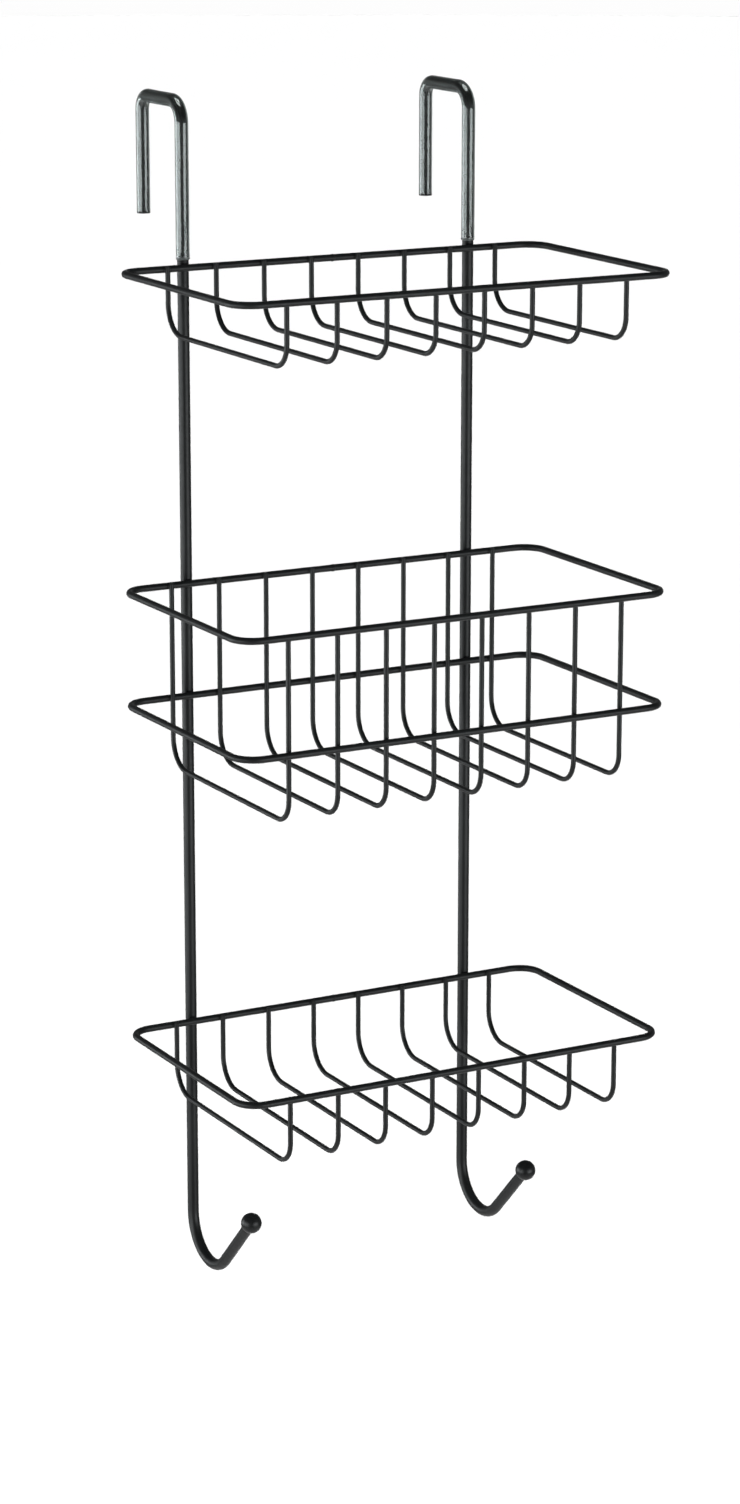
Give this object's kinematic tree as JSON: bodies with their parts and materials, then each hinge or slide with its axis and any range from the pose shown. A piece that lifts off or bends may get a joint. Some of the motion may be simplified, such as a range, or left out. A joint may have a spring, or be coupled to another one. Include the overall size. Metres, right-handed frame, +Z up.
{
  "type": "shower caddy",
  "caption": "Black welded-wire shower caddy with over-panel hooks in clear sleeves, open wire baskets at three levels and ball-tipped hooks at its foot.",
  "frame": {"origin": "midway between the two top hooks, in the middle of the panel gap, at the underside of the sleeved hooks, where the caddy rests on the panel's top edge", "axes": "+Z up, -Y towards the baskets and the user, +Y behind the panel, +X to the viewer's right"},
  "size_m": [0.25, 0.1939, 0.6262],
  "materials": {
    "black_wire": "satin black powder coat",
    "clear_sleeve": "clear soft vinyl tube, glossy",
    "ball_tip": "satin black"
  },
  "bodies": {
    "root": {"upright_left": "black_wire", "upright_right": "black_wire", "hook_sleeve_left": "clear_sleeve", "hook_sleeve_right": "clear_sleeve", "ball_tip_left": "ball_tip", "ball_tip_right": "ball_tip", "top_rim": "black_wire", "middle_upper_rim": "black_wire", "middle_lower_rim": "black_wire", "bottom_rim": "black_wire", "top_wire_1": "black_wire", "top_wire_2": "black_wire", "top_wire_3": "black_wire", "top_wire_4": "black_wire", "top_wire_5": "black_wire", "top_wire_6": "black_wire", "top_wire_7": "black_wire", "top_wire_8": "black_wire", "middle_wire_1": "black_wire", "middle_wire_2": "black_wire", "middle_wire_3": "black_wire", "middle_wire_4": "black_wire", "middle_wire_5": "black_wire", "middle_wire_6": "black_wire", "middle_wire_7": "black_wire", "middle_wire_8": "black_wire", "bottom_wire_1": "black_wire", "bottom_wire_2": "black_wire", "bottom_wire_3": "black_wire", "bottom_wire_4": "black_wire", "bottom_wire_5": "black_wire", "bottom_wire_6": "black_wire", "bottom_wire_7": "black_wire", "bottom_wire_8": "black_wire"}
  },
  "joints": []
}
